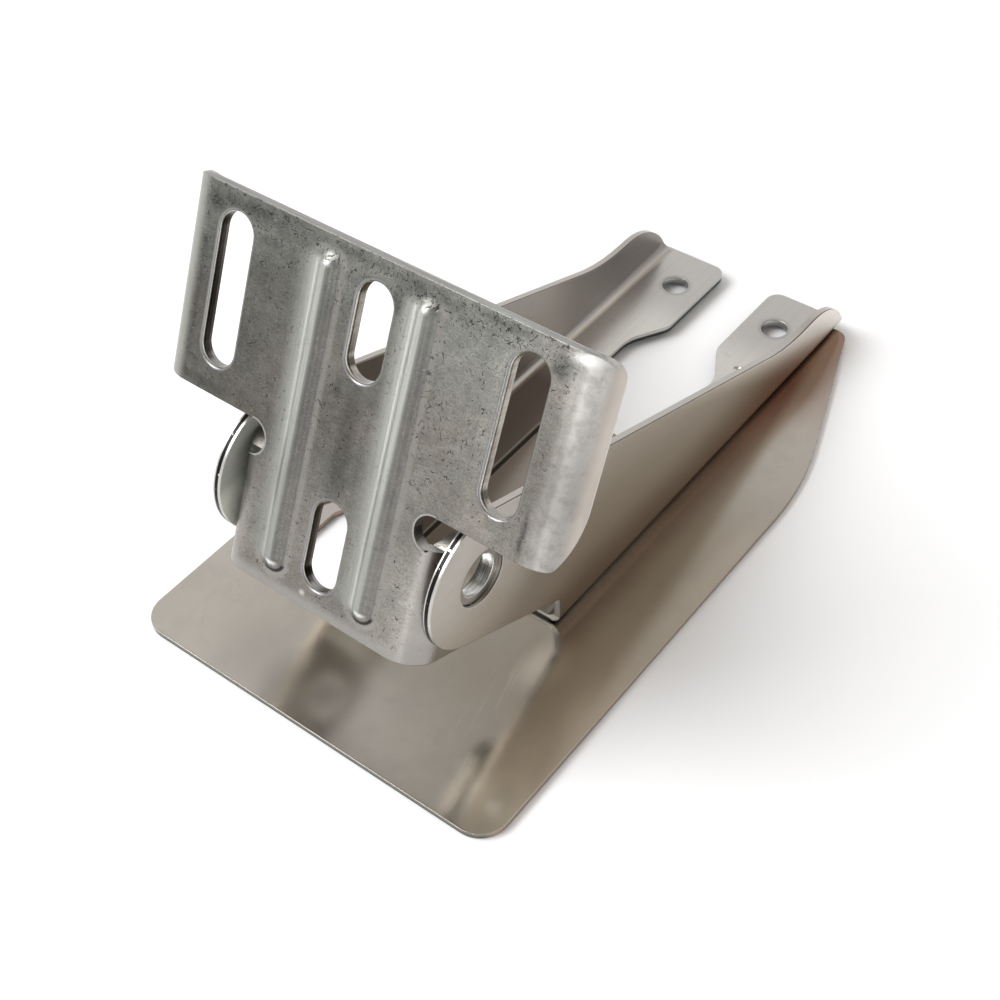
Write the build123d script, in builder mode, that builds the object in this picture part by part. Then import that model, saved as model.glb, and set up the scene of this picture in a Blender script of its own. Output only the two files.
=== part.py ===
from build123d import *
import os

# A stainless steel transom mount for a depth-sounder transducer, in four pressed sheets.
# The transom plate screws to the boat and turns on bosses pressed into the ears of two arms.
# The arms stand on a flat splash plate, and their tabs carry the transducer at the tail.
# X is along the pivot, -Y faces the boat, +Y runs to the tail, and Z is up.
# The origin is on the underside of the splash plate, straight below the pivot.

os.makedirs("parts", exist_ok=True)

# Splash plate
splash_thickness = 1.0
splash_half_width = 35.8
splash_front = -20.2
splash_front_corner_radius = 5.0
splash_taper_length = 48.6
splash_taper_radius = 57.0
splash_taper_sweep = 19.3
splash_tail_corner_radius = 2.5
tail_opening_length = 47.6
tail_opening_width = 30.0
tail_opening_corner_radius = 4.0
window_centre = (-19.0, 9.0)
window_width = 13.0
window_length = 19.0
window_corner_radius = 3.0

# Arms
arm_thickness = 1.3
arm_bend_radius = 3.2
arm_tail = 109.2
arm_tail_overhang = 1.6
arm_tail_height = 10.3
arm_tail_corner_radius = 13.0
top_edge_bend_from_tail = 22.3
top_edge_bend_radius = 36.0
arm_ear_radius = 11.5
lower_edge_end_height = 8.1
relief_radius = 1.0
flange_front = 18.65
flange_front_corner_radius = 1.0
flange_width = 11.0
tab_width = 15.3
tab_length = 20.5
tab_flare_length = 7.3
tab_flare_inner_radius = 8.0
tab_flare_outer_radius = 4.0
tab_corner_radius = 2.5
tab_hole_diameter = 5.0
tab_hole_from_wall = 9.5
tab_hole_from_tail = 9.45
dimple_from_wall = 9.0
dimple_from_tail = 23.2
dimple_radius = 1.2
dimple_depth = 0.35

# Pivot
pivot_height = 30.5
ear_gap = 0.3
boss_diameter = 9.5
boss_clearance = 0.05
boss_engagement = 0.6
boss_shear_web = 0.15
pivot_bore = 7.0

# Transom plate, measured along the plate from the pivot and back from its front face
plate_thickness = 2.0
plate_lean = 24.4
pivot_setback = 9.85
plate_top = 41.6
wing_bottom = 10.7
neck_height = 5.5
plate_bottom = -13.4
wing_half_width = 35.8
wing_depth = 6.2
wing_bend_radius = 5.0
wing_top_corner_radius = 3.0
wing_bottom_corner_radius = 1.0
wing_top_side_radius = 5.0
wing_cut_height = 6.3
wing_cut_depth = 4.15
wing_cut_upper_radius = 8.0
wing_cut_lower_radius = 1.2
leg_half_width = 19.0
leg_bend_radius = 5.2
leg_ear_radius = 8.9
leg_ear_corner_radius = 4.5
neck_half_width = 13.9
slot_rim_rounding = 0.45
slot_width = 6.1
outer_slot_spacing = 50.8
outer_slot_length = 23.4
outer_slot_centre = 26.8
centre_slot_length = 14.4
upper_centre_slot = 30.8
lower_centre_slot = -2.5
bead_spacing = 17.0
bead_bottom = -10.0
bead_top = 38.8
bead_width = 3.6
bead_height = 1.0
bead_blend_radius = 2.5
groove_width = 2.4
groove_depth = 0.9

# Sizes that follow from those above
arm_inner_face = leg_half_width + ear_gap
arm_outer_face = arm_inner_face + arm_thickness
flange_top = splash_thickness + arm_thickness
arm_tail_top = splash_thickness + arm_tail_height
splash_tail = arm_tail - arm_tail_overhang
splash_taper_start = splash_tail - splash_taper_length
tail_opening_start = splash_tail - tail_opening_length
top_edge_bend_y = arm_tail - top_edge_bend_from_tail
tab_start = arm_tail - tab_length
tab_flare_start = tab_start - tab_flare_length
boss_height = ear_gap + boss_engagement
plate_front = -pivot_setback
plate_back = plate_front + plate_thickness
wing_rear = plate_front + wing_depth

# Planes of the leaning transom plate: across it, seen from the front, and seen from the side
across_plate = Plane((0, 0, pivot_height)).rotated((-plate_lean, 0, 0))
front_of_plate = Plane(across_plate.origin, x_dir=across_plate.x_dir, z_dir=-across_plate.y_dir)
side_of_plate = Plane(across_plate.origin, x_dir=across_plate.y_dir, z_dir=across_plate.x_dir)


def extrude_bent_sheet(half_width, depth, bend_radius, bottom, top):
    """A sheet with both sides bent back, as a rounded box less the box one thickness inside."""
    for inset, mode in ((0, Mode.ADD), (plate_thickness, Mode.SUBTRACT)):
        with BuildSketch(across_plate.offset(bottom)) as section:
            with Locations((0, plate_front + inset)):
                Rectangle(2 * (half_width - inset), depth - inset, align=(Align.CENTER, Align.MIN))
            fillet(section.vertices().group_by(Axis.Y)[0], bend_radius - inset)
        extrude(section.sketch, amount=top - bottom, mode=mode)


def add_bead(width, height, surface, mode):
    """A round-ended ridge or groove that stands the given height off a face of the plate."""
    radius = (width**2 / 4 + height**2) / (2 * height)
    inset = radius - height
    end_inset = (radius**2 - inset**2) ** 0.5
    bottom = bead_bottom + end_inset
    top = bead_top - end_inset
    for side in (-1, 1):
        place = (side * bead_spacing / 2, surface + inset)
        with BuildSketch(across_plate.offset(bottom)) as section:
            with Locations(place):
                Circle(radius)
        extrude(section.sketch, amount=top - bottom, mode=mode)
        for end in (bottom, top):
            with Locations(across_plate.offset(end).location * Location((*place, 0))):
                Sphere(radius, mode=mode)


# Transom plate
with BuildPart() as wing:
    extrude_bent_sheet(wing_half_width, wing_depth, wing_bend_radius, wing_bottom, plate_top)
    # The blank has rounded corners, seen from the front and on the bent sides
    with BuildSketch(front_of_plate.offset(-plate_front)) as wing_front:
        with Locations((0, (plate_top + wing_bottom) / 2)):
            Rectangle(2 * wing_half_width, plate_top - wing_bottom)
        fillet(wing_front.vertices().group_by(Axis.Y)[-1], wing_top_corner_radius)
        fillet(wing_front.vertices().group_by(Axis.Y)[0], wing_bottom_corner_radius)
    extrude(amount=-wing_depth, mode=Mode.INTERSECT)
    with BuildSketch(side_of_plate.offset(-wing_half_width)) as wing_side:
        with BuildLine():
            Polyline(
                (plate_front, plate_top),
                (wing_rear, plate_top),
                (wing_rear, wing_bottom + wing_cut_height),
                (wing_rear - wing_cut_depth, wing_bottom),
                (plate_front, wing_bottom),
                close=True,
            )
        make_face()
        for corner, radius in (
            ((wing_rear, plate_top), wing_top_side_radius),
            ((wing_rear, wing_bottom + wing_cut_height), wing_cut_upper_radius),
            ((wing_rear - wing_cut_depth, wing_bottom), wing_cut_lower_radius),
        ):
            fillet(wing_side.vertices().sort_by_distance((*corner, 0))[0], radius)
    extrude(amount=2 * wing_half_width, mode=Mode.INTERSECT)

with BuildPart() as beads:
    add_bead(bead_width, bead_height, plate_front, Mode.ADD)
    with BuildSketch(front_of_plate.offset(-plate_back)) as bead_area:
        Rectangle(2 * bead_spacing, 4 * plate_top)
    extrude(amount=plate_thickness + bead_height, mode=Mode.INTERSECT)

with BuildPart() as transom_plate:
    extrude_bent_sheet(
        leg_half_width,
        pivot_setback + leg_ear_radius,
        leg_bend_radius,
        plate_bottom,
        leg_ear_radius,
    )
    # Side outline of the leg: its ears are round above the pivot and square-cornered below
    with BuildSketch(side_of_plate.offset(-leg_half_width)) as leg_side:
        Circle(leg_ear_radius)
        with Locations((plate_front, plate_bottom)):
            Rectangle(pivot_setback + leg_ear_radius, -plate_bottom, align=(Align.MIN, Align.MIN))
        with Locations((plate_front, plate_bottom)):
            Rectangle(
                pivot_setback,
                wing_bottom - neck_height - plate_bottom,
                align=(Align.MIN, Align.MIN),
            )
        rear_corner = leg_side.vertices().group_by(Axis.X)[-1].sort_by(Axis.Y)[0]
        fillet(rear_corner, leg_ear_corner_radius)
    extrude(amount=2 * leg_half_width, mode=Mode.INTERSECT)
    # Neck between the leg and the wing, with a round-ended relief on each side
    with BuildSketch(front_of_plate.offset(-plate_back)) as neck:
        with Locations((0, wing_bottom - neck_height)):
            Rectangle(
                2 * neck_half_width + neck_height,
                neck_height + plate_thickness,
                align=(Align.CENTER, Align.MIN),
            )
        for side in (-1, 1):
            with Locations((side * (neck_half_width + neck_height / 2), wing_bottom - neck_height / 2)):
                Circle(neck_height / 2, mode=Mode.SUBTRACT)
    extrude(amount=plate_thickness)
    add(wing.part)
    # Pivot bosses, half sheared out of the ears, with a bore through each for the clamp bolt
    for side in (-1, 1):
        ear_face = side_of_plate.offset(side * leg_half_width)
        inner_face = side_of_plate.offset(side * (leg_half_width - plate_thickness))
        with BuildSketch(ear_face):
            Circle(boss_diameter / 2)
        extrude(amount=side * boss_height)
        with BuildSketch(inner_face):
            Circle(boss_diameter / 2 - boss_shear_web)
        extrude(amount=side * boss_height, mode=Mode.SUBTRACT)
        with BuildSketch(inner_face):
            Circle(pivot_bore / 2)
        extrude(amount=side * (plate_thickness + boss_height), mode=Mode.SUBTRACT)
    # Two long slots for height adjustment and two short ones on the midline
    with BuildSketch(front_of_plate.offset(-plate_front)):
        for x in (-outer_slot_spacing / 2, outer_slot_spacing / 2):
            with Locations((x, outer_slot_centre)):
                SlotOverall(outer_slot_length, slot_width, rotation=90)
        for height in (lower_centre_slot, upper_centre_slot):
            with Locations((0, height)):
                SlotOverall(centre_slot_length, slot_width, rotation=90)
    extrude(amount=-plate_thickness, mode=Mode.SUBTRACT)
    # Stiffening beads, raised at the front and hollow at the back
    add(beads.part)
    add_bead(groove_width, groove_depth, plate_back, Mode.SUBTRACT)
    forward = Axis(front_of_plate.origin, front_of_plate.z_dir)
    front_face = transom_plate.faces().filter_by(front_of_plate).sort_by(forward)[-1]
    outlines = front_face.inner_wires().sort_by(SortBy.LENGTH)
    fillet(outlines[:-2].edges(), slot_rim_rounding)
    front_face = transom_plate.faces().filter_by(front_of_plate).sort_by(forward)[-1]
    outlines = front_face.inner_wires().sort_by(SortBy.LENGTH)
    fillet(outlines[-2:].edges(), bead_blend_radius)

transom_plate.part.label = "transom_plate"
export_step(transom_plate.part, "parts/transom_plate.step")

# Splash plate
with BuildPart() as splash_plate:
    with BuildSketch() as splash_outline:
        with BuildLine():
            front = Line((0, splash_front), (splash_half_width, splash_front))
            side = Line(front @ 1, (splash_half_width, splash_taper_start))
            taper = JernArc(side @ 1, side % 1, splash_taper_radius, splash_taper_sweep)
            tail_side = PolarLine(
                taper @ 1,
                splash_tail - (taper @ 1).Y,
                direction=taper % 1,
                length_mode=LengthMode.VERTICAL,
            )
            tail = Line(tail_side @ 1, (0, splash_tail))
            mirror(about=Plane.YZ)
        make_face()
        fillet(splash_outline.vertices().group_by(Axis.Y)[0], splash_front_corner_radius)
        fillet(splash_outline.vertices().group_by(Axis.Y)[-1], splash_tail_corner_radius)
        # Opening at the tail, under the tabs, with round inner corners
        with Locations((0, tail_opening_start)):
            Rectangle(
                tail_opening_width,
                tail_opening_length,
                align=(Align.CENTER, Align.MIN),
                mode=Mode.SUBTRACT,
            )
        opening_corners = splash_outline.vertices().sort_by_distance((0, tail_opening_start, 0))[:2]
        fillet(opening_corners, tail_opening_corner_radius)
        # Window beside the foot of the transom plate
        with Locations(window_centre):
            RectangleRounded(window_width, window_length, window_corner_radius, mode=Mode.SUBTRACT)
    extrude(amount=splash_thickness)

splash_plate.part.label = "splash_plate"
export_step(splash_plate.part, "parts/splash_plate.step")

# Arms, each a wall bent inwards at the bottom to a flange that rests on the splash plate
for side, name in ((-1, "arm_left"), (1, "arm_right")):
    with BuildPart() as arm:
        # The bent sheet, as a rounded bar less the bar one thickness inside
        for inset, mode in ((0, Mode.ADD), (arm_thickness, Mode.SUBTRACT)):
            corner = (side * (arm_outer_face - inset), splash_thickness + inset)
            with BuildSketch(Plane.XZ.offset(arm_ear_radius)) as section:
                with Locations(corner):
                    Rectangle(
                        tab_width,
                        pivot_height + arm_ear_radius - splash_thickness,
                        align=(Align.MAX if side > 0 else Align.MIN, Align.MIN),
                    )
                bend = section.vertices().sort_by_distance((*corner, 0))[0]
                fillet(bend, arm_bend_radius - inset)
            extrude(amount=-(arm_ear_radius + arm_tail), mode=mode)
        # Side outline: a round ear, a long taper, and a rounded tail above the flange
        with BuildSketch(Plane.YZ.offset(side * arm_outer_face)) as wall:
            with Locations((0, pivot_height)):
                Circle(arm_ear_radius)
            with BuildLine():
                Line((flange_front, lower_edge_end_height), (top_edge_bend_y, arm_tail_top))
            make_hull()
            with Locations((flange_front, arm_tail_top)):
                Rectangle(
                    arm_tail - flange_front,
                    2 * arm_tail_corner_radius,
                    align=(Align.MIN, Align.MAX),
                )
            for corner, radius in (
                ((flange_front, lower_edge_end_height), relief_radius),
                ((top_edge_bend_y, arm_tail_top), top_edge_bend_radius),
                ((arm_tail, arm_tail_top), arm_tail_corner_radius),
            ):
                fillet(wall.vertices().sort_by_distance((*corner, 0))[0], radius)
            with Locations((flange_front, splash_thickness)):
                Rectangle(arm_tail - flange_front, arm_thickness, align=(Align.MIN, Align.MIN))
            with Locations((0, pivot_height)):
                Circle(boss_diameter / 2 + boss_clearance, mode=Mode.SUBTRACT)
        extrude(amount=-side * tab_width, mode=Mode.INTERSECT)
        # Outline from above: the flange is wider at the tail, as the tab for the transducer
        with BuildSketch() as outline:
            with BuildLine():
                Polyline(
                    (side * arm_outer_face, flange_front),
                    (side * (arm_outer_face - flange_width), flange_front),
                    (side * (arm_outer_face - flange_width), tab_flare_start),
                    (side * (arm_outer_face - tab_width), tab_start),
                    (side * (arm_outer_face - tab_width), arm_tail),
                    (side * arm_outer_face, arm_tail),
                    close=True,
                )
            make_face()
            for corner, radius in (
                ((arm_outer_face - flange_width, flange_front), flange_front_corner_radius),
                ((arm_outer_face - flange_width, tab_flare_start), tab_flare_inner_radius),
                ((arm_outer_face - tab_width, tab_start), tab_flare_outer_radius),
                ((arm_outer_face - tab_width, arm_tail), tab_corner_radius),
            ):
                place = (side * corner[0], corner[1], 0)
                fillet(outline.vertices().sort_by_distance(place)[0], radius)
            with Locations((side * arm_outer_face, -arm_ear_radius)):
                Rectangle(
                    arm_thickness,
                    arm_ear_radius + arm_tail,
                    align=(Align.MAX if side > 0 else Align.MIN, Align.MIN),
                )
            with Locations(
                (side * (arm_outer_face - tab_hole_from_wall), arm_tail - tab_hole_from_tail)
            ):
                Circle(tab_hole_diameter / 2, mode=Mode.SUBTRACT)
        extrude(amount=pivot_height + arm_ear_radius, mode=Mode.INTERSECT)
        if side > 0:
            # Small punch mark on the right tab
            dimple = (arm_outer_face - dimple_from_wall, arm_tail - dimple_from_tail)
            with Locations((*dimple, flange_top + dimple_radius - dimple_depth)):
                Sphere(dimple_radius, mode=Mode.SUBTRACT)
    arm.part.label = name
    export_step(arm.part, f"parts/{name}.step")
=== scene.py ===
import math

import bpy
from mathutils import Matrix, Vector

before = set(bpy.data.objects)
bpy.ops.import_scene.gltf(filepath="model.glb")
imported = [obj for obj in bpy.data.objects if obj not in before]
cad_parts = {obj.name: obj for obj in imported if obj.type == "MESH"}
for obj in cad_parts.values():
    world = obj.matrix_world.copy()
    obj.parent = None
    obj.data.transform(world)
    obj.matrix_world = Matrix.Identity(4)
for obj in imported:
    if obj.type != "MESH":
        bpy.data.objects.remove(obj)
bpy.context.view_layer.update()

# Blender works in metres, and the sizes in the finishes are millimetres on the part
MM = 0.001
MM_IN_METRE = 1000

# The transom plate: its lean, and its places along the sheet from the pivot and across it
PIVOT_HEIGHT = 30.5
SIN_LEAN = math.sin(math.radians(24.4))
COS_LEAN = math.cos(math.radians(24.4))
SLOT_RADIUS = 3.05
OUTER_SLOT_X = 25.4
OUTER_SLOT_MIDDLE = 26.8
OUTER_SLOT_HALF = 8.65
UPPER_SLOT_MIDDLE = 30.8
LOWER_SLOT_MIDDLE = -2.5
CENTRE_SLOT_HALF = 4.15
BEAD_X = 8.5
BEAD_MIDDLE = 14.4
BEAD_HALF = 22.6
RELIEF_X = 16.65
RELIEF_HEIGHT = 7.95
RELIEF_RADIUS = 2.75
LEG_TOP = (4.5, 8.0)
LEG_BEND = (15.0, 17.5)
WING_BEND = (31.6, 33.6)
LOWER_EDGE = (-12.7, -10.9)
BOSS_BORE = (3.55, 3.65)
PLATE_EDGE_RADIUS = 0.2
PLATE_GRAIN_DEPTH = 0.04

# Places from the front of that sheet to the back of its bends, as distances behind the pivot
TORN_DEPTH = -9.2
BACK_CORNER_DEPTH = -8.15
EAR_DEPTH = -6.0
WING_REAR = (-4.05, -3.85)

# Dark smudges on the plate, two of them lines of painted shade beside the bends: middle, reach and
# strength
PLATE_SMUDGES_AND_SHADE = (
    ((-29.6, 38.8), (3.0, 2.6), 1.0),
    ((-24.0, 39.8), (11.0, 1.8), 0.8),
    ((-19.0, 36.6), (3.0, 1.2), 0.6),
    ((-6.0, 40.4), (14.0, 1.0), 0.5),
    ((3.6, 36.8), (1.6, 3.4), 1.0),
    ((8.5, 39.8), (8.0, 2.0), 0.8),
    ((29.4, 38.4), (2.4, 2.6), 1.0),
    ((20.5, 40.4), (6.0, 1.2), 0.7),
    ((30.3, 15.0), (0.8, 6.0), 1.0),
    ((-30.6, 24.0), (0.7, 18.0), 0.45),
    ((-28.0, 12.0), (7.0, 1.4), 0.7),
    ((-3.0, 21.0), (1.2, 2.6), 0.6),
)

# The arms
ARM_MIDDLE = 19.95
TAB_HOLE_X = 11.1
TAB_HOLE_Y = 99.75
TAB_HOLE_WALL = (2.3, 2.6)
ARM_BORE = (3.6, 3.75)
FLANGE_TOP = (2.4, 2.8)
NOTCH_Y = 18.5
ARM_EDGE_RADIUS = 0.25
ARM_GRAIN_DEPTH = 0.008

# The splash plate: its edges, where the arms stand, and its scuffs and patches of painted highlight as
# middle, reach and strength
UNDER_ARM_X = 18.8
ARM_FRONT = (17.5, 19.5)
ARM_TAIL = (104, 108)
FRONT_EDGE = (-20.2, -19.85)
SPLASH_EDGE_RADIUS = 0.18
SPLASH_WAVE_DEPTH = 0.01
SCUFFED_PLACES = (
    ((29, -12), (8, 12), 1.0),
    ((20, 2), (5, 14), 0.7),
)
HIGHLIGHT_PLACES = (
    ((33, -15), (9, 10), 1.0),
    ((-1, -15), (7, 7), 0.35),
    ((23, 11), (5, 8), 0.7),
)

# Colours of the transom plate, the first seven of which are scaled to a level
TUMBLED_COOL = (0.99, 1.02, 0.93)
TUMBLED_WARM = (1.06, 0.985, 0.875)
SHEEN_TINT = (1.0, 1.02, 0.95)
FLANK_REFLECTION_TINT = (1.08, 0.98, 0.88)
LEG_REFLECTION_TINT = (1.04, 0.99, 0.93)
RIDGE_HIGHLIGHT_TINT = (1.03, 1.0, 0.94)
LEFT_BEND_REFLECTION = (0.29, 0.30, 0.265)
BEAD_SHADE = (0.07, 0.07, 0.072)
BEAD_FOOT_HIGHLIGHT = (0.275, 0.26, 0.24)
BEAD_CREASE_SHADE = (0.055, 0.055, 0.065)
DOME_SHINE = (0.92, 0.92, 0.89)
DOME_SHADE = (0.015, 0.015, 0.015)
DOME_HALO = (0.33, 0.32, 0.30)
SMUDGE_AND_SHADE = (0.028, 0.03, 0.03)
SCRATCH = (0.02, 0.02, 0.022)
FRESH_SCRATCH = (0.6, 0.6, 0.58)
DENT_HIGHLIGHT = (0.7, 0.7, 0.67)
REAR_EDGE_HIGHLIGHT = (0.75, 0.72, 0.67)
GLINT = (0.95, 0.95, 0.93)
RELIEF_RIM = (0.42, 0.41, 0.39)
EAR_TOP_SHADE = (0.09, 0.085, 0.075)
LOWER_RIM = (0.32, 0.31, 0.29)
SLOT_RIM_DARK = (0.19, 0.195, 0.17)
SLOT_RIM_LIT = (0.25, 0.245, 0.25)
SLOT_RIM_HIGHLIGHT = (0.95, 0.95, 0.84)
WALL_DARK = (0.30, 0.265, 0.225)
WALL_PALE = (0.52, 0.475, 0.415)
WALL_SHADED = (0.055, 0.052, 0.055)
WALL_TORN = (0.02, 0.018, 0.015)
WALL_BACK = (0.55, 0.53, 0.52)
WALL_LOW_END_SHADE = (0.02, 0.015, 0.012)
CUT_DARK = (0.27, 0.265, 0.25)
CUT_PALE = (0.42, 0.41, 0.39)
BOSS_BORE_DARK = (0.40, 0.39, 0.37)
BOSS_BORE_PALE = (0.96, 0.96, 0.94)

# Colour of the fine grain on the arms and on the splash plate
GRAIN = (0.56, 0.53, 0.49)

# Colours of the arms
ARM_DARK = (0.43, 0.405, 0.37)
ARM_PALE = (0.49, 0.465, 0.435)
ARM_BROWN_REFLECTION_FRONT = (0.178, 0.12, 0.08)
ARM_BROWN_REFLECTION_TAIL = (0.33, 0.21, 0.155)
ARM_BROWN_REFLECTION_UPPER = (0.41, 0.365, 0.30)
ARM_TAIL_END_LIGHT = (0.80, 0.76, 0.70)
ARM_EAR_LIGHT = (0.78, 0.75, 0.69)
ARM_INNER_FAR_SHADE = (0.30, 0.28, 0.25)
ARM_UPPER_EDGE_LIGHT = (0.78, 0.74, 0.68)
EAR_INSIDE_LOW = (0.95, 0.97, 0.90)
EAR_INSIDE_HIGH = (0.62, 0.64, 0.59)
ARM_INNER_TAIL_SHADE = (0.21, 0.195, 0.185)
ARM_INNER_FRONT_SHADE = (0.10, 0.075, 0.06)
TAB_TOP_LIGHT = (0.60, 0.59, 0.57)
TAB_FRONT_LIGHT = (0.86, 0.84, 0.80)
ROLLED_STREAK = (0.20, 0.18, 0.15)
SHEARED = (0.47, 0.44, 0.40)
SHEARED_CORNER_SHADE = (0.05, 0.04, 0.035)
EAR_EDGE = (0.50, 0.485, 0.45)
EAR_EDGE_SHADE = (0.015, 0.015, 0.015)
EAR_EDGE_SPECKLE = (0.8, 0.78, 0.75)
NOTCH_SHADE = (0.16, 0.15, 0.14)
# Painted shade in the gap under the bends and on the flanges
GAP_SHADE = (0.02, 0.016, 0.012)
FLANGE_SHADE = (0.15, 0.12, 0.105)
FLANGE_UNDERSIDE_SHADE = (0.03, 0.032, 0.03)
FLANGE_EDGE_LIT = (0.50, 0.50, 0.48)
ARM_BORE_DARK = (0.45, 0.44, 0.42)
ARM_BORE_PALE = (0.97, 0.96, 0.94)
HOLE_HALO = (0.2, 0.19, 0.175)
LIT_HOLE_WALL = (0.9, 0.9, 0.88)
ARM_HAIR = (0.2, 0.185, 0.17)

# Colours of the splash plate
SPLASH_DARK = (0.50, 0.46, 0.40)
SPLASH_PALE = (0.56, 0.53, 0.49)
HAZE = (0.33, 0.305, 0.265)
SCUFF = (0.74, 0.72, 0.69)
# Painted shade where the arms stand, and a painted dark reflection of the plate
ARM_FOOT_SHADE = (0.04, 0.033, 0.026)
LEG_REFLECTION = (0.19, 0.18, 0.16)
SPLASH_HAIR = (0.22, 0.2, 0.18)
SPECK = (0.15, 0.13, 0.11)
RIGHT_EDGE_HIGHLIGHT = (0.86, 0.80, 0.72)
HIGHLIGHT_PATCH = (0.95, 0.91, 0.82)
LEFT_FRONT_REFLECTION = (0.40, 0.365, 0.335)
# Painted brown reflection towards the tail and beside the arms, and painted shade between them
TAIL_BROWN_REFLECTION = (0.38, 0.29, 0.24)
WARM_REFLECTION_STRIP = (0.36, 0.21, 0.145)
TAIL_REFLECTION = (0.20, 0.13, 0.09)
BETWEEN_ARMS_SHADE = (0.27, 0.23, 0.20)
FRONT_RIM = (0.20, 0.19, 0.16)
FRONT_CUT_LOW = (0.05, 0.045, 0.03)
FRONT_CUT_HIGH = (0.17, 0.16, 0.135)
SIDE_CUT = (0.36, 0.27, 0.21)

# Colours of the room
FLOOR_DARK = (0.91, 0.92, 0.94)
FLOOR_PALE = (0.93, 0.94, 0.96)
ROOM_WALLS = (0.97, 0.97, 0.97)
CEILING = (0.42, 0.40, 0.37)
CEILING_BACK_RIGHT = (0.42, 0.34, 0.25)

# The floor, in metres
FLOOR_SIZE = 6
FLOOR_HEIGHT = -0.0003

# The room, in parts of a direction of length 1: upwards, and to the left for the window's side
BACK_RIGHT = Vector((0.438, 0.534, 0.7235))
CEILING_EDGE = (0.64, 0.78)
WINDOW_SIDE = (0.62, 0.86)
WINDOW_TOP = (0.80, 0.95)

# The lamps: name, place and aim in metres, size in metres, power in watts
LAMPS = (
    ("key_lamp", (-0.55, -0.50, 0.85), (0, 0.03, 0.02), (0.7, 0.7), 11),
    ("front_strip", (0.29, -0.86, 0.12), (0, 0, 0.03), (0.10, 0.30), 0.6),
)

# The camera, solved from the photo, in degrees and millimetres, and what it sees in metres
CAMERA_AZIMUTH = 39.37
CAMERA_ELEVATION = 46.35
CAMERA_ROLL = 2.52
CAMERA_PLACE = (119.15, -115.37, 205.16)
CAMERA_LENS = 59.18
CAMERA_SENSOR = 36
CAMERA_NEAR = 0.01
CAMERA_FAR = 10


class Term:
    """A shader value that takes part in arithmetic. Each operator adds one Math node."""

    def __init__(self, finish, socket):
        self.finish = finish
        self.socket = socket

    def __add__(self, other):
        return self.finish.math("ADD", self, other)

    def __radd__(self, other):
        return self.finish.math("ADD", other, self)

    def __sub__(self, other):
        return self.finish.math("SUBTRACT", self, other)

    def __rsub__(self, other):
        return self.finish.math("SUBTRACT", other, self)

    def __mul__(self, other):
        return self.finish.math("MULTIPLY", self, other)

    def __rmul__(self, other):
        return self.finish.math("MULTIPLY", other, self)

    def __truediv__(self, other):
        return self.finish.math("DIVIDE", self, other)

    def __rtruediv__(self, other):
        return self.finish.math("DIVIDE", other, self)

    def __pow__(self, other):
        return self.finish.math("POWER", self, other)

    def __neg__(self):
        return 0 - self

    def __abs__(self):
        return self.finish.math("ABSOLUTE", self)

    def sign(self):
        return self.finish.math("SIGN", self)

    def smallest(self, other):
        return self.finish.math("MINIMUM", self, other)

    def largest(self, other):
        return self.finish.math("MAXIMUM", self, other)

    def clamped(self):
        return self.finish.math("ADD", self, 0, clamp=True)

    def rise(self, low, high):
        """Goes smoothly from 0 at low to 1 at high."""
        node = self.finish.node(
            "ShaderNodeMapRange",
            dict(interpolation_type="SMOOTHSTEP"),
            {"Value": self, "From Min": low, "From Max": high},
        )
        return Term(self.finish, node.outputs["Result"])

    def fall(self, low, high):
        """Goes smoothly from 1 at low to 0 at high."""
        return 1 - self.rise(low, high)

    def swing(self, low, high, share):
        """Goes smoothly from 1 less a share at low to 1 and that share at high."""
        return (1 - share) + 2 * share * self.rise(low, high)


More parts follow.
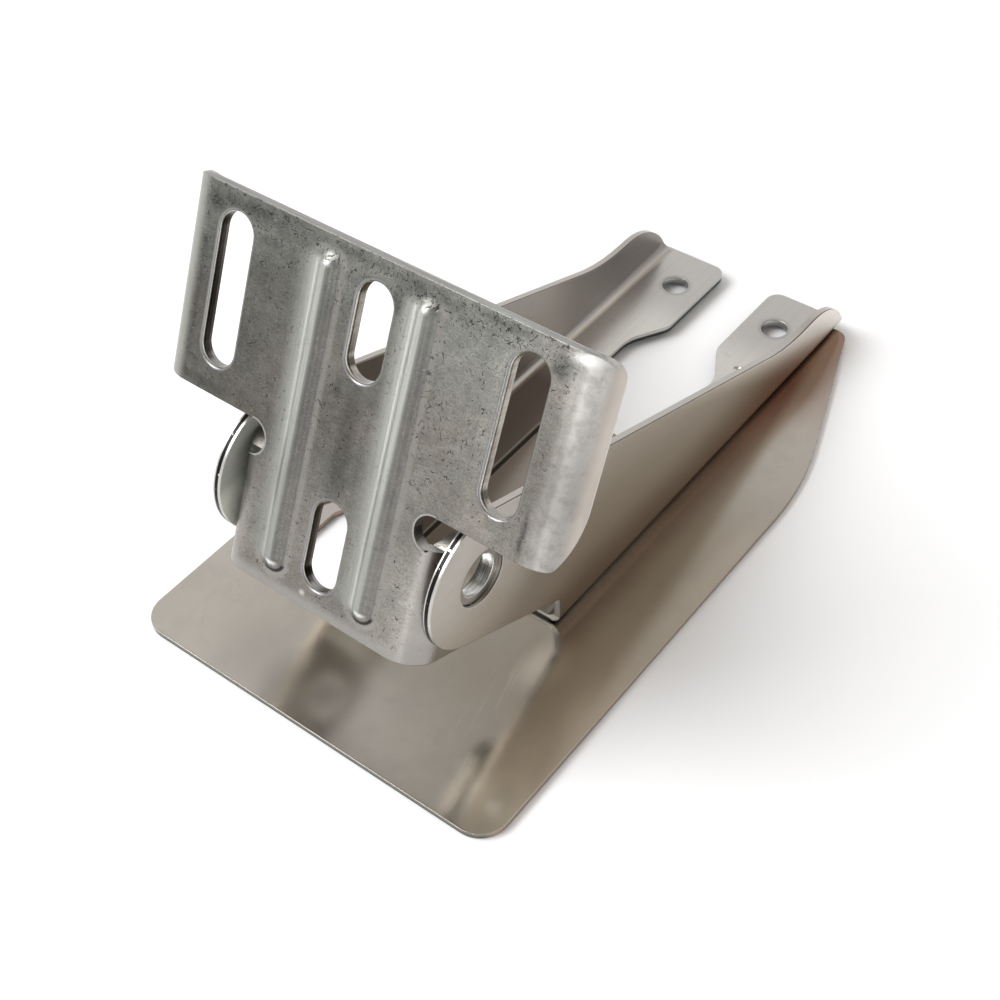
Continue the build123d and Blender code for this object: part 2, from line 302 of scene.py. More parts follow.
class Finish:
    """The nodes of a material or a world, and the ways they are added and joined."""

    def __init__(self, owner):
        owner.use_nodes = True
        self.owner = owner
        self.nodes = owner.node_tree.nodes
        self.links = owner.node_tree.links
        self.nodes.clear()
        self.colour = None

    def feed(self, slot, value):
        """Gives a socket a link, a number, a vector or a colour, which gets an alpha of 1."""
        if isinstance(value, Term):
            value = value.socket
        if hasattr(value, "is_linked"):
            self.links.new(value, slot)
        elif slot.type == "RGBA":
            slot.default_value = (*value, 1)
        else:
            slot.default_value = value

    def node(self, kind, settings=None, inputs=None):
        node = self.nodes.new(kind)
        for key, value in (settings or {}).items():
            setattr(node, key, value)
        for key, value in (inputs or {}).items():
            self.feed(node.inputs[key], value)
        return node

    def math(self, operation, *values, clamp=False):
        settings = dict(operation=operation, use_clamp=clamp)
        node = self.node("ShaderNodeMath", settings, dict(enumerate(values)))
        return Term(self, node.outputs[0])

    def place(self):
        """The point on the part, in the frame that the part was made in, in metres."""
        return self.node("ShaderNodeTexCoord").outputs["Object"]

    def place_in_mm(self):
        """The same point as three numbers in millimetres."""
        return [part * MM_IN_METRE for part in self.parts(self.place())]

    def facing(self):
        """The direction that the surface faces, in the same frame."""
        return self.node("ShaderNodeTexCoord").outputs["Normal"]

    def round_edges(self, radius):
        node = self.node("ShaderNodeBevel", dict(samples=6), {"Radius": radius})
        return node.outputs["Normal"]

    def parts(self, vector):
        node = self.node("ShaderNodeSeparateXYZ", None, {"Vector": vector})
        return [Term(self, node.outputs[i]) for i in range(3)]

    def point(self, x, y, z):
        return self.node("ShaderNodeCombineXYZ", None, {"X": x, "Y": y, "Z": z}).outputs[0]

    def noise(self, vector, scale, detail=3, roughness=0.55):
        inputs = {"Vector": vector, "Scale": scale, "Detail": detail, "Roughness": roughness}
        return Term(self, self.node("ShaderNodeTexNoise", None, inputs).outputs[0])

    def blend(self, share, first, second):
        """The first colour with a share of the second."""
        node = self.node("ShaderNodeMix", dict(data_type="RGBA"))
        self.feed(node.inputs[0], share)
        self.feed(node.inputs[6], first)
        self.feed(node.inputs[7], second)
        return node.outputs[2]

    def cover(self, share, coat):
        """Covers a share of the colour so far with another colour."""
        self.colour = self.blend(share, self.colour, coat)

    def scaled(self, colour, level):
        """A colour times a number that varies."""
        node = self.node("ShaderNodeVectorMath", dict(operation="SCALE"), {0: colour, "Scale": level})
        return node.outputs[0]

    def bump(self, height, distance, normal):
        inputs = {"Height": height, "Distance": distance, "Normal": normal}
        return self.node("ShaderNodeBump", None, inputs).outputs["Normal"]

    def shade(self, roughness, metallic=1.0, normal=None):
        """Ends a material in a shader of the colour so far."""
        inputs = {"Base Color": self.colour, "Roughness": roughness, "Metallic": metallic}
        if normal is not None:
            inputs["Normal"] = normal
        shader = self.node("ShaderNodeBsdfPrincipled", None, inputs)
        self.node("ShaderNodeOutputMaterial", None, {"Surface": shader.outputs[0]})
        return self.owner


def distance(across, along):
    return (across * across + along * along) ** 0.5


def soft_patch(across, along, centre, reach):
    """1 in the middle of an oval patch, falling to 0 at its reach."""
    u = (across - centre[0]) / reach[0]
    v = (along - centre[1]) / reach[1]
    return distance(u, v).fall(0.1, 1.0)


def soft_patches(across, along, places):
    """The strongest of several oval patches."""
    patches = [soft_patch(across, along, centre, reach) * depth for centre, reach, depth in places]
    strongest = patches[0]
    for patch in patches[1:]:
        strongest = strongest.largest(patch)
    return strongest


def band(value, middle, half_width, fade):
    """1 within half_width of the middle, falling to 0 over the fade."""
    return abs(value - middle).fall(half_width, half_width + fade)


def slot_reach(across, along, middle, half_straight):
    """Distance to the wall of an upright round-ended slot, less than 0 inside it."""
    past = (abs(along - middle) - half_straight).largest(0)
    return distance(across, past) - SLOT_RADIUS


def grow_hairs(steel, place, scale, width, keep, curl=0.5):
    """Short fine scratches: bent cell borders, broken up by a noise."""
    swirl = steel.node("ShaderNodeTexNoise", None, {"Vector": place, "Scale": scale * 1.6, "Detail": 1.0})
    bent = steel.node(
        "ShaderNodeVectorMath",
        dict(operation="MULTIPLY_ADD"),
        {0: swirl.outputs["Color"], 1: (curl / scale,) * 3, 2: place},
    )
    cells = steel.node(
        "ShaderNodeTexVoronoi",
        dict(feature="DISTANCE_TO_EDGE"),
        {"Vector": bent.outputs[0], "Scale": scale},
    )
    line = Term(steel, cells.outputs["Distance"]).fall(width * scale * 0.4, width * scale)
    return line * steel.noise(place, scale * 2.2, 1).rise(keep, keep + 0.06)


def scatter_pits(steel, place, scale, size, keep):
    """Small round pits in a share of the cells of a scattered pattern."""
    cells = steel.node("ShaderNodeTexVoronoi", None, {"Vector": place, "Scale": scale})
    chance = steel.parts(cells.outputs["Color"])[0]
    near = Term(steel, cells.outputs["Distance"]).fall(size * 0.5, size)
    return near * chance.rise(keep, keep + 0.05)


def thick_sheet_finish():
    steel = Finish(bpy.data.materials.new("tumbled_plate_steel"))
    x, y, z = steel.place_in_mm()
    above = z - PIVOT_HEIGHT
    along = y * SIN_LEAN + above * COS_LEAN
    behind = y * COS_LEAN - above * SIN_LEAN
    spot = steel.point(x, along, behind)
    nx, ny, nz = steel.parts(steel.facing())
    frontness = nz * SIN_LEAN - ny * COS_LEAN
    topness = ny * SIN_LEAN + nz * COS_LEAN
    off_middle = abs(x)
    front = frontness.rise(0.25, 0.6)

    # Where things are
    on_leg = along.fall(*LEG_TOP)
    smooth = off_middle.rise(*WING_BEND).largest(off_middle.rise(*LEG_BEND) * on_leg)
    slots = slot_reach(off_middle - OUTER_SLOT_X, along, OUTER_SLOT_MIDDLE, OUTER_SLOT_HALF)
    for middle in (UPPER_SLOT_MIDDLE, LOWER_SLOT_MIDDLE):
        slots = slots.smallest(slot_reach(x, along, middle, CENTRE_SLOT_HALF))
    bead_side = (off_middle - BEAD_X) * x.sign()
    bead_end = (along - BEAD_MIDDLE).largest(BEAD_HALF) - (BEAD_MIDDLE - along).largest(BEAD_HALF)
    from_bead = distance(bead_side, bead_end)
    on_bead = abs(bead_end).fall(0.2, 1.6) * front

    # Colour of the tumbled surface, from large clouds to fine grain, on a level with painted reflection
    # and shade: paler to the right, low down and at the top, darker between the beads and at the upper
    # right
    clouds = steel.noise(spot, 0.075, 3, 0.6)
    mottle = steel.noise(spot, 0.5, 4, 0.68)
    tint = steel.noise(steel.point(x + 31, along, behind), 0.16, 2)
    grain = steel.noise(spot, 4.2, 3, 0.7)
    rolled = steel.noise(steel.point(x * 0.5, along * 5.5, behind), 1.0, 2, 0.6)
    low = along.fall(-7, 9)
    level = 0.108 + 0.03 * x.rise(-20, -5) + 0.065 * x.rise(4, 14) + 0.06 * low
    level = level + 0.045 * along.rise(31, 37.5)
    level = level + 0.08 * off_middle.rise(12.5, 16.0) * low
    level = level - 0.045 * band(x, -0.3, 0.5, 1.9) * band(along, 14.0, 4.0, 9.0)
    level = level + 0.03 * x.rise(18.5, 21.5) * x.fall(22, 29.5)
    level = level - 0.055 * soft_patch(x, along, (17, 39), (11, 7))
    level = level + 0.03 * soft_patch(x, along, (3, 17), (5, 7))
    level = level * clouds.swing(0.3, 0.7, 0.14) * rolled.swing(0.3, 0.7, 0.07)
    level = level * mottle.swing(0.25, 0.75, 0.14) * grain.swing(0.2, 0.8, 0.28)
    warm = 0.2 + 0.8 * along.fall(24, 37).largest(x.rise(18, 30))
    warm = warm * (0.55 + 0.45 * tint.rise(0.35, 0.65))
    steel.colour = steel.scaled(steel.blend(warm, TUMBLED_COOL, TUMBLED_WARM), level)

    # Beads: a painted sheen on the left side up to the crown, painted shade on the right side and in the
    # crease, and a painted highlight round the foot
    streaks = steel.noise(steel.point(x * 3.0, along * 0.10, 0), 1.0, 3, 0.6)
    sheen = bead_side.rise(-5.8, -1.2) * bead_side.fall(-0.1, 0.9) * on_bead
    sheen_level = 0.29 + 0.09 * along.rise(0, 30) + 0.04 * x.rise(0, 1)
    sheen_level = sheen_level * streaks.swing(0.3, 0.65, 0.1)
    sheen_level = sheen_level * (1 + 0.5 * band(bead_side, -1.7, 0.2, 0.45))
    steel.cover(sheen, steel.scaled(SHEEN_TINT, sheen_level))
    lee = band(bead_side, 1.0, 0.6, 0.5) * on_bead
    steel.cover(0.38 * lee, BEAD_SHADE)
    to_lamp = (bead_end * 0.5 - bead_side * 0.87) / from_bead.largest(0.05)
    foot_highlight = band(from_bead, 2.5, 0.1, 0.8) * to_lamp.fall(-0.75, 0.6) * front
    steel.cover((0.4 + 0.6 * mottle) * foot_highlight, BEAD_FOOT_HIGHLIGHT)
    crease_shade = band(bead_side, 1.9, 0.05, 0.25) * on_bead
    steel.cover(0.4 * crease_shade, BEAD_CREASE_SHADE)

    # Their round ends: a painted shine on the dome, a line of painted shade under it and a painted pale
    # halo
    domes = from_bead.fall(0.4, 1.7) * abs(bead_end).rise(0.1, 0.7) * front
    domes = domes * (1 - 0.75 * bead_end.rise(0.0, 0.5))
    steel.cover(0.9 * domes * (0.65 + 0.35 * mottle.rise(0.3, 0.5)), DOME_SHINE)
    below = (-bead_end).rise(0.3, 1.0)
    under_dome = band(from_bead, 2.15, 0.12, 0.3) * below * bead_side.rise(-1.8, -0.6) * front
    steel.cover(0.9 * under_dome, DOME_SHADE)
    halo = band(from_bead, 3.0, 0.2, 0.5) * abs(bead_end).rise(0.3, 1.0) * front
    steel.cover(0.4 * halo, DOME_HALO)

    # Smudges, two of them lines of painted shade beside the bends, then scratches and pits, which are
    # fewer on the smooth bends
    smudge_and_shade_noise = steel.noise(steel.point(x + 9, along, 5), 0.9, 4, 0.7).rise(0.38, 0.60)
    smudges_and_shade = soft_patches(x, along, PLATE_SMUDGES_AND_SHADE) * (0.5 + 0.5 * smudge_and_shade_noise) * front
    steel.cover(0.8 * smudges_and_shade, SMUDGE_AND_SHADE)
    worn = (1 - 0.85 * smooth) * front
    crowd = steel.noise(steel.point(x, along + 50, behind), 0.16, 3, 0.6).rise(0.42, 0.60)
    crowd = (0.2 + 0.8 * crowd).largest(0.8 * along.rise(35.5, 38)) * (0.5 + 0.5 * along.rise(0, 30))
    faint = 0.5 + 0.5 * steel.noise(steel.point(x + 3, along, 8), 0.8, 1).rise(0.40, 0.58)
    faint = faint.largest(along.rise(35, 38))
    other_spot = steel.point(x + 40, along - 17, behind)
    hairs = grow_hairs(steel, spot, 0.42, 0.075, 0.665 - 0.15 * crowd)
    hairs = hairs.largest(grow_hairs(steel, other_spot, 0.85, 0.06, 0.645 - 0.14 * crowd, 0.8))
    pits = scatter_pits(steel, steel.point(x - 11, along + 23, behind), 1.3, 0.17, 0.88)
    on_crown = abs(bead_side).fall(1.6, 2.4) * on_bead
    marks = hairs.largest(pits * crowd).clamped() * faint * worn * (1 - 0.8 * sheen.largest(on_crown))
    steel.cover(0.85 * marks, SCRATCH)
    sparkle = grow_hairs(steel, steel.point(x - 70, along + 3, behind), 1.1, 0.05, 0.60) * front
    steel.cover(0.13 * sparkle, FRESH_SCRATCH)
    # A small dent, with a painted highlight
    dent = soft_patch(x, along, (-2.3, -11.2), (0.75, 0.75)) * front
    steel.cover(0.6 * dent, DENT_HIGHLIGHT)

    # Wing bends: a painted pale reflection on the left side, a painted highlight down the right one, a
    # painted browner reflection on its flank, a painted bright rear edge and a painted glint at the top
    # right corner
    smooth_level = clouds.swing(0.3, 0.7, 0.08)
    left_bend_reflection = x.fall(-32.6, -30.9) * (1 - on_leg)
    steel.cover(0.85 * left_bend_reflection, steel.scaled(LEFT_BEND_REFLECTION, smooth_level))
    top_shine = along.rise(14, 40)
    ridge = x.rise(30.3, 33.6)
    ridge_highlight_level = (0.36 + 0.15 * top_shine ** 2) * smooth_level * mottle.swing(0.3, 0.6, 0.15)
    ridge_highlight_level = ridge_highlight_level * (1 - 0.28 * band(x, 32.5, 0.1, 0.7)) * (1 - 0.12 * x.rise(33.9, 34.7))
    steel.cover(ridge, steel.scaled(RIDGE_HIGHLIGHT_TINT, ridge_highlight_level))
    flank_reflection_level = (0.38 + 0.13 * behind.rise(-7.8, -4.6)) * smooth_level
    flank = nx.rise(0.80, 0.97) * x.rise(30, 32)
    steel.cover(flank, steel.scaled(FLANK_REFLECTION_TINT, flank_reflection_level))
    rear_edge_highlight = behind.rise(*WING_REAR) * off_middle.rise(34, 35)
    steel.cover(0.6 * rear_edge_highlight, REAR_EDGE_HIGHLIGHT)
    glint = soft_patch(x, along, (32.6, 40.7), (3.4, 1.3)) * front
    steel.cover(0.75 * glint, GLINT)

    # The leg: painted reflection on its bent sides, the corner reliefs, painted shade on the tops of the
    # ears, and the lower edge
    leg_side = off_middle.rise(14.2, 17.5) * on_leg
    leg_reflection_level = (0.27 + 0.06 * x.rise(0, 1)) * smooth_level
    steel.cover(0.8 * leg_side, steel.scaled(LEG_REFLECTION_TINT, leg_reflection_level))
    relief = distance(off_middle - RELIEF_X, along - RELIEF_HEIGHT) - RELIEF_RADIUS
    relief_rim = band(relief, 0.1, 0.06, 0.2) * off_middle.fall(16.6, 17.2) * front
    steel.cover(0.7 * relief_rim, RELIEF_RIM)
    ear_top_shade = band(behind, EAR_DEPTH, 1.8, 1.2) * band(along, 6.0, 3.5, 1.5) * off_middle.rise(14.5, 16.0)
    steel.cover((0.85 - 0.35 * x.rise(-1, 1)) * ear_top_shade, EAR_TOP_SHADE)
    lower_rim = along.fall(*LOWER_EDGE) * front
    steel.cover(0.8 * lower_rim, LOWER_RIM)

    # Slots: a worn front rim painted lighter where it faces right or up, with a painted highlight line,
    # and walls that are streaked across the sheet, with painted shade in the left and lower slots and at
    # the low ends
    rim = slots.fall(0.40, 0.55) * frontness.rise(0.05, 0.2)
    lit = nx.largest(topness).rise(-0.2, 0.3)
    steel.cover(0.8 * rim, steel.blend(lit, SLOT_RIM_DARK, SLOT_RIM_LIT))
    shear = steel.noise(steel.point(x * 0.9, along * 0.9, behind * 0.15), 1.0, 3, 0.65)
    shaded = x.fall(-16, -12).largest(along.fall(4, 8))
    low_end_shade = topness.fall(0.55, 0.75) * topness.rise(0.1, 0.35)
    wall = steel.blend(shear.rise(0.35, 0.68), WALL_DARK, WALL_PALE)
    for share, coat in (
        (0.85 * shaded, WALL_SHADED),
        (0.8 * band(behind, TORN_DEPTH, 0.05, 0.25), WALL_TORN),
        (0.5 * band(behind, BACK_CORNER_DEPTH, 0.1, 0.2), WALL_BACK),
        (0.8 * low_end_shade, WALL_LOW_END_SHADE),
    ):
        wall = steel.blend(share, wall, coat)
    punched = slots.fall(0.02, 0.08) * frontness.fall(0.12, 0.3)
    steel.cover(punched, wall)
    rim_highlight = band(frontness, 0.36, 0.10, 0.14) * lit * slots.fall(0.5, 0.6)
    steel.cover(0.9 * rim_highlight, SLOT_RIM_HIGHLIGHT)

    # The sheared outer edges, and the turned bore of each boss
    cut_face = abs(topness).rise(0.8, 0.95)
    drag = steel.noise(steel.point(x * 0.08, 0, behind * 2.6), 1.0, 3, 0.6)
    steel.cover(0.9 * cut_face, steel.blend(drag.rise(0.42, 0.62), CUT_DARK, CUT_PALE))
    bore = distance(y, above).fall(*BOSS_BORE) * off_middle.rise(15.5, 16.5)
    turned = steel.noise(steel.point(x * 2.5, y * 0.25, z * 0.25), 1.0, 2, 0.6).rise(0.35, 0.62)
    steel.cover(0.95 * bore, steel.blend(turned, BOSS_BORE_DARK, BOSS_BORE_PALE))

    # The gloss and the relief
    roughness = 0.25 + 0.12 * mottle + 0.10 * grain - 0.07 * smooth
    roughness = (roughness - 0.06 * rim - 0.04 * punched + 0.2 * smudges_and_shade + 0.12 * ridge).largest(0.12)
    height = 0.35 * mottle + 0.4 * grain - 0.9 * marks - 2.5 * dent
    normal = steel.bump(height, PLATE_GRAIN_DEPTH * MM, steel.round_edges(PLATE_EDGE_RADIUS * MM))
    return steel.shade(roughness, normal=normal)


def arm_sheet_finish():
    steel = Finish(bpy.data.materials.new("smooth_arm_steel"))
    x, y, z = steel.place_in_mm()
    spot = steel.point(x, y, z)
    nx, _, nz = steel.parts(steel.facing())
    outward = nx * x.sign()
    outer_wall = outward.rise(0.5, 0.9)
    inner_wall = (-outward).rise(0.5, 0.9)
    from_pivot = distance(y, z - PIVOT_HEIGHT)
    far = from_pivot.rise(9.0, 34.0)
    clouds = steel.noise(spot, 0.045, 3, 0.6)
    rolled = steel.noise(steel.point(x * 1.6, y * 0.07, z * 1.6), 1.0, 3, 0.6)
    grain = steel.noise(spot, 4.0, 2, 0.6)
    steel.colour = steel.blend(clouds.rise(0.3, 0.7), ARM_DARK, ARM_PALE)

    # The walls: a painted brown reflection away from the pivot, most outside on the right arm, painted
    # light at the tail end, on the ear and at the upper edge, and painted shade on the far inner wall
    low_brown_reflection = steel.blend(y.rise(66, 92), ARM_BROWN_REFLECTION_FRONT, ARM_BROWN_REFLECTION_TAIL)
    brown_reflection = steel.blend(z.rise(3, 16), low_brown_reflection, ARM_BROWN_REFLECTION_UPPER)
    brown_reflection_share = 0.25 + 0.70 * x.rise(-1, 1)
    steel.cover(brown_reflection_share * far * outer_wall, brown_reflection)
    tail = (y + 2 * (z - 5)).rise(86, 102)
    steel.cover(0.85 * tail * outer_wall, ARM_TAIL_END_LIGHT)
    steel.cover(0.5 * from_pivot.fall(8.0, 18.0) * outer_wall, ARM_EAR_LIGHT)
    steel.cover(0.6 * far * inner_wall, ARM_INNER_FAR_SHADE)
    upper_edge_light = soft_patch(y, z, (23, 31), (9, 9)) * outer_wall
    steel.cover(0.6 * upper_edge_light, ARM_UPPER_EDGE_LIGHT)

    # The inner wall: painted light on the ear, less of it higher up, and painted shade on the tail and on
    # the front of the right arm
    ear_inside = from_pivot.fall(11.0, 18.0) * inner_wall
    steel.cover(ear_inside, steel.blend(z.rise(30.5, 34), EAR_INSIDE_LOW, EAR_INSIDE_HIGH))
    steel.cover(0.75 * y.rise(68, 80) * inner_wall, ARM_INNER_TAIL_SHADE)
    steel.cover(0.9 * x.rise(0, 1) * y.fall(6, 30) * inner_wall, ARM_INNER_FRONT_SHADE)

    # Painted light on the tops of the tabs, most near their front, then the streaks of rolling and the
    # grain
    tabs = nz.rise(0.7, 0.9) * z.fall(*FLANGE_TOP) * y.rise(66, 76)
    steel.cover(0.7 * tabs, TAB_TOP_LIGHT)
    steel.cover(0.6 * tabs * y.fall(86, 97), TAB_FRONT_LIGHT)
    steel.cover(0.07 * rolled.rise(0.45, 0.7), ROLLED_STREAK)
    steel.cover(0.16 * grain.rise(0.5, 0.75), GRAIN)

    # Sheared edges: pale, with a line of painted shade along one corner, and round the front of the ear a
    # pale edge with a line of painted shade and pale specks
    sheared = abs(nx).fall(0.3, 0.6) * z.rise(2.9, 3.3)
    across = x - x.sign() * ARM_MIDDLE
    corner_line = across.rise(0.36, 0.46)
    steel.cover(sheared, steel.blend(0.85 * corner_line, SHEARED, SHEARED_CORNER_SHADE))
    ear_shade_line = band(across, -0.12, 0.26, 0.1) * z.rise(20.5, 24)
    speckle = steel.noise(spot, 1.2, 3, 0.7)
    ear_edge = steel.blend(ear_shade_line, EAR_EDGE, EAR_EDGE_SHADE)
    ear_edge = steel.blend(speckle.rise(0.66, 0.72), ear_edge, EAR_EDGE_SPECKLE)
    front_of_ear = y.fall(-4, 4) * sheared
    steel.cover(front_of_ear, ear_edge)
    # Painted shade in the notch
    notch_shade = sheared * band(y, NOTCH_Y, 1.5, 1.5) * z.fall(8, 10)
    steel.cover(0.8 * notch_shade, NOTCH_SHADE)

    # Painted shade in the gap under the bend and on the flange in front of the tabs, and a flange edge
    # painted dark below and lit above
    gap_shade = (-nz).rise(0.6, 0.88) * z.fall(2.8, 3.4)
    steel.cover(0.85 * gap_shade, GAP_SHADE)
    flange_shade = nz.rise(0.7, 0.9) * z.fall(*FLANGE_TOP) * y.fall(62, 72)
    steel.cover(0.85 * flange_shade, FLANGE_SHADE)
    flange_edge = abs(nz).fall(0.3, 0.6) * z.fall(2.3, 2.6) * abs(x).fall(18.6, 18.9)
    steel.cover(0.95 * flange_edge, steel.blend(z.rise(1.55, 1.85), FLANGE_UNDERSIDE_SHADE, FLANGE_EDGE_LIT))

    # The inside of the pressed bore is burnished
    bore = from_pivot.fall(*ARM_BORE) * outward.fall(0.3, 0.7)
    rings = steel.noise(steel.point(x * 1.6, y * 0.2, z * 0.2), 1.0, 2, 0.6).rise(0.38, 0.62)
    steel.cover(0.9 * bore, steel.blend(rings, ARM_BORE_DARK, ARM_BORE_PALE))

    # The punched tab holes have a soft dark halo, and painted light on their walls
    from_hole = distance(abs(x) - TAB_HOLE_X, y - TAB_HOLE_Y)
    halo = from_hole.fall(2.5, 3.6) * abs(nz).rise(0.7, 0.9)
    steel.cover(0.35 * halo, HOLE_HALO)
    hole_wall = from_hole.fall(*TAB_HOLE_WALL) * abs(nz).fall(0.3, 0.6)
    steel.cover(hole_wall, LIT_HOLE_WALL)

    # Fine scratches all over, then the gloss and the relief
    hairs = grow_hairs(steel, spot, 0.25, 0.06, 0.60)
    steel.cover(0.25 * hairs, ARM_HAIR)
    roughness = 0.24 + 0.04 * rolled + 0.05 * grain + 0.04 * clouds - 0.06 * bore + 0.35 * ear_inside
    height = 0.15 * rolled + 0.3 * grain - 0.5 * hairs
    normal = steel.bump(height, ARM_GRAIN_DEPTH * MM, steel.round_edges(ARM_EDGE_RADIUS * MM))
    return steel.shade(roughness, normal=normal)


def splash_sheet_finish():
    steel = Finish(bpy.data.materials.new("smooth_splash_steel"))
    x, y, z = steel.place_in_mm()
    spot = steel.point(x, y, z)
    _, ny, nz = steel.parts(steel.facing())
    off_middle = abs(x)
    on_top = nz.rise(0.5, 0.9)
    right_half = 0.2 + 0.8 * x.rise(-1, 1)
    clouds = steel.noise(spot, 0.035, 3, 0.55)
    haze = steel.noise(spot, 0.14, 4, 0.6)
    grain = steel.noise(spot, 4.5, 2, 0.6)
    steel.colour = steel.blend(clouds.rise(0.3, 0.7), SPLASH_DARK, SPLASH_PALE)
    steel.cover(0.2 * haze.rise(0.45, 0.7), HAZE)
    steel.cover(0.16 * grain.rise(0.5, 0.75), GRAIN)

    # Light scuffs near the right front corner
    streaks = steel.noise(steel.point(x * 1.9 + y * 0.43, y * 0.07, 3), 1.0, 3, 0.6)
    scuffs = streaks.rise(0.54, 0.70) * soft_patches(x, y, SCUFFED_PLACES)
    steel.cover(0.4 * scuffs, SCUFF)

    # Painted shade where the arms stand, widest at their front ends
    reach = 0.15 + 1.3 * y.fall(19, 36)
    arm_foot_shade = ((off_middle - UNDER_ARM_X) / reach).fall(0.0, 1.0) * y.rise(*ARM_FRONT) * y.fall(*ARM_TAIL)
    arm_foot_shade = arm_foot_shade * off_middle.rise(14.0, 17.5) * on_top
    steel.cover(0.9 * arm_foot_shade, ARM_FOOT_SHADE)

    # A painted dark reflection of the plate in front of it, fine scratches and specks, then painted
    # highlights and a painted darker reflection near the edges
    leg_reflection = soft_patch(x, y, (-8, -14), (5.5, 8))
    steel.cover(0.7 * leg_reflection, LEG_REFLECTION)
    hairs = grow_hairs(steel, spot, 0.22, 0.05, 0.60)
    steel.cover(0.18 * hairs, SPLASH_HAIR)
    specks = scatter_pits(steel, spot, 0.3, 0.05, 0.85)
    steel.cover(0.5 * specks, SPECK)
    right_edge_highlight = soft_patch(x, y, (36, 2), (14, 34))
    steel.cover(0.6 * right_edge_highlight, RIGHT_EDGE_HIGHLIGHT)
    both_sides = soft_patch(off_middle, y, (35, 40), (5, 26))
    highlights = soft_patches(x, y, HIGHLIGHT_PLACES).largest(0.3 * both_sides)
    steel.cover(0.9 * highlights, HIGHLIGHT_PATCH)
    left_front_reflection = soft_patch(x, y, (-14, -14), (12, 12))
    steel.cover(0.6 * left_front_reflection, LEFT_FRONT_REFLECTION)
    # More painted dark reflection in front of the leg
    under_leg = soft_patch(x, y, (-1.1, -13.8), (4.0, 4.0))
    steel.cover(0.5 * under_leg, LEG_REFLECTION)

    # Painted brown reflection towards the tail and beside the arms, most on the right, and painted shade
    # between them
    steel.cover(0.7 * right_half * y.rise(72, 94), TAIL_BROWN_REFLECTION)
    warm_reflection = right_half * y.rise(30, 90) * off_middle.fall(21.5, 27)
    steel.cover(0.6 * warm_reflection, WARM_REFLECTION_STRIP)
    tail_reflection = right_half * y.rise(72, 90) * off_middle.fall(24.0, 29.0)
    steel.cover(0.65 * tail_reflection, TAIL_REFLECTION)
    between_arms_shade = off_middle.fall(17, 18) * y.rise(17, 20) * on_top
    steel.cover(0.7 * between_arms_shade, BETWEEN_ARMS_SHADE)

    # The cut edges: dark at the front with a darker lower line, and brown along the sides
    front_rim = y.fall(*FRONT_EDGE)
    steel.cover(0.7 * front_rim, FRONT_RIM)
    front_cut = steel.blend(z.rise(0.25, 0.5), FRONT_CUT_LOW, FRONT_CUT_HIGH)
    cut_colour = steel.blend((-ny).rise(0.4, 0.8), SIDE_CUT, front_cut)
    cut_face = abs(nz).fall(0.3, 0.7)
    steel.cover(0.95 * cut_face, cut_colour)

    # The gloss, duller in front of the leg, and slight waves
    dull = soft_patch(x, y, (-1.5, -13.5), (9, 9))
    roughness = 0.11 + 0.07 * haze + 0.04 * grain + 0.06 * scuffs + 0.075 * dull
    waves = steel.noise(spot, 0.06, 1, 0.4)
    height = 6.0 * waves + 0.25 * grain
    normal = steel.bump(height, SPLASH_WAVE_DEPTH * MM, steel.round_edges(SPLASH_EDGE_RADIUS * MM))
    return steel.shade(roughness, normal=normal)


def dress(node, material):
    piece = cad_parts[node]
    piece.data.materials.clear()
    piece.data.materials.append(material)
    for polygon in piece.data.polygons:
        polygon.material_index = 0


def lay_floor():
    bpy.ops.mesh.primitive_plane_add(size=FLOOR_SIZE, location=(0, 0, FLOOR_HEIGHT))
    floor = bpy.context.object
    floor.name = "floor"
    paint = Finish(bpy.data.materials.new("white_floor"))
    paint.colour = paint.blend(paint.noise(paint.place(), 3, 2), FLOOR_DARK, FLOOR_PALE)
    floor.data.materials.append(paint.shade(0.8, metallic=0.0))


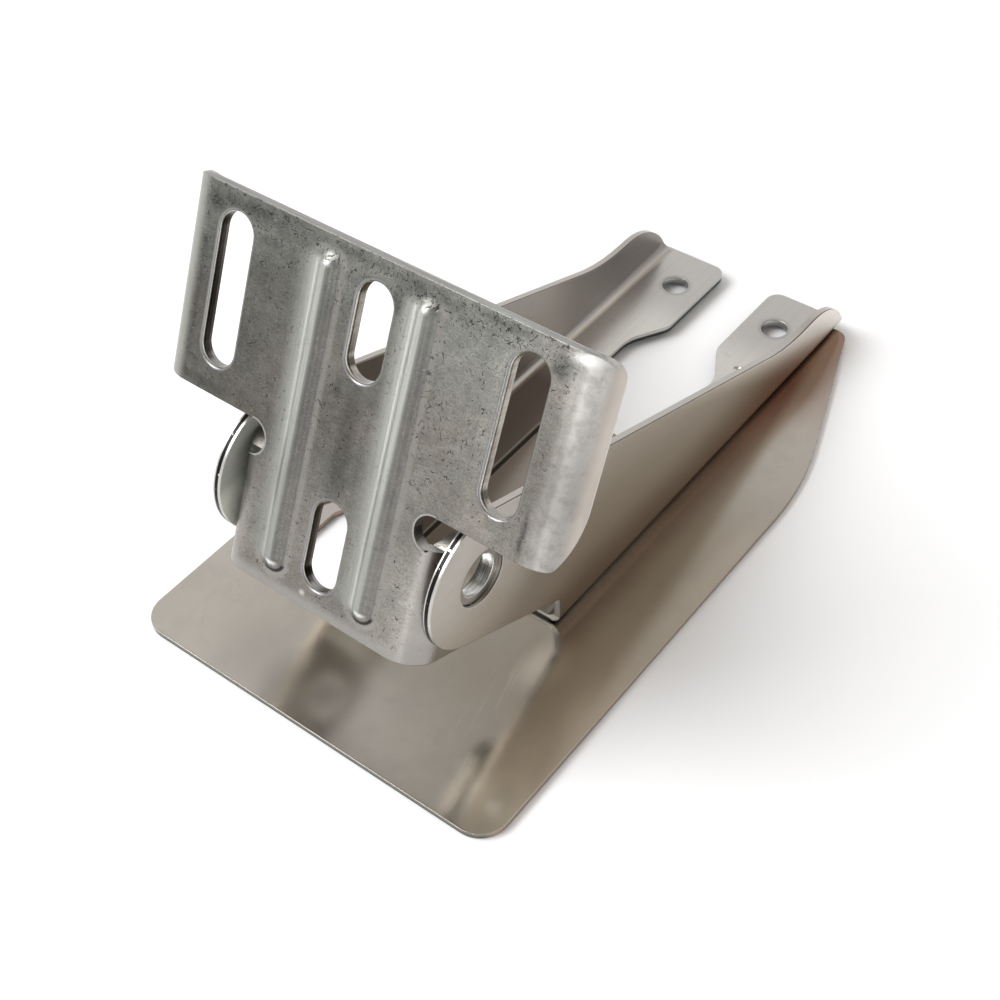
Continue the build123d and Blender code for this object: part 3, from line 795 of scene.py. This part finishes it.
def light_room():
    """White walls up to 40 degrees, under a grey ceiling that is browner at the back right.

    On the left a white window goes up into the ceiling.
    """
    room = bpy.data.worlds.new("white_room")
    bpy.context.scene.world = room
    paint = Finish(room)
    towards = paint.node("ShaderNodeTexCoord").outputs["Generated"]
    x, y, z = paint.parts(towards)
    flat = distance(x, y).largest(0.01)
    window = (-(x / flat)).rise(*WINDOW_SIDE) * z.fall(*WINDOW_TOP)
    ceiling = z.rise(*CEILING_EDGE) * (1 - 0.9 * window)
    back_right = (x * BACK_RIGHT.x + y * BACK_RIGHT.y + z * BACK_RIGHT.z).rise(0.55, 0.95)
    sky = paint.blend(ceiling, ROOM_WALLS, paint.blend(back_right, CEILING, CEILING_BACK_RIGHT))
    background = paint.node("ShaderNodeBackground", None, {"Color": sky, "Strength": 1.0})
    paint.node("ShaderNodeOutputWorld", None, {"Surface": background.outputs[0]})


def hang_lamp(name, place, aim, size, power):
    data = bpy.data.lights.new(name, "AREA")
    data.shape = "RECTANGLE"
    data.size, data.size_y = size
    data.energy = power
    lamp = bpy.data.objects.new(name, data)
    bpy.context.scene.collection.objects.link(lamp)
    lamp.location = place
    lamp.rotation_mode = "QUATERNION"
    lamp.rotation_quaternion = (Vector(aim) - Vector(place)).to_track_quat("-Z", "Y")


def set_camera():
    azimuth, elevation, roll = (math.radians(a) for a in (CAMERA_AZIMUTH, CAMERA_ELEVATION, CAMERA_ROLL))
    level_reach = math.cos(elevation)
    back = Vector(
        (math.sin(azimuth) * level_reach, -math.cos(azimuth) * level_reach, math.sin(elevation))
    )
    right = Vector((math.cos(azimuth), math.sin(azimuth), 0))
    up = back.cross(right)
    rolled_right = math.cos(roll) * right - math.sin(roll) * up
    rolled_up = math.sin(roll) * right + math.cos(roll) * up
    place = Vector(CAMERA_PLACE) * MM
    data = bpy.data.cameras.new("photo_camera")
    data.sensor_width = CAMERA_SENSOR
    data.lens = CAMERA_LENS
    data.clip_start = CAMERA_NEAR
    data.clip_end = CAMERA_FAR
    camera = bpy.data.objects.new("photo_camera", data)
    bpy.context.scene.collection.objects.link(camera)
    turn = Matrix((rolled_right, rolled_up, back)).transposed()
    camera.matrix_world = Matrix.Translation(place) @ turn.to_4x4()
    bpy.context.scene.camera = camera


arm_steel = arm_sheet_finish()
dress("transom_plate", thick_sheet_finish())
dress("arm_left", arm_steel)
dress("arm_right", arm_steel)
dress("splash_plate", splash_sheet_finish())
lay_floor()
light_room()
for lamp in LAMPS:
    hang_lamp(*lamp)
set_camera()
bpy.context.scene.view_settings.view_transform = "Standard"
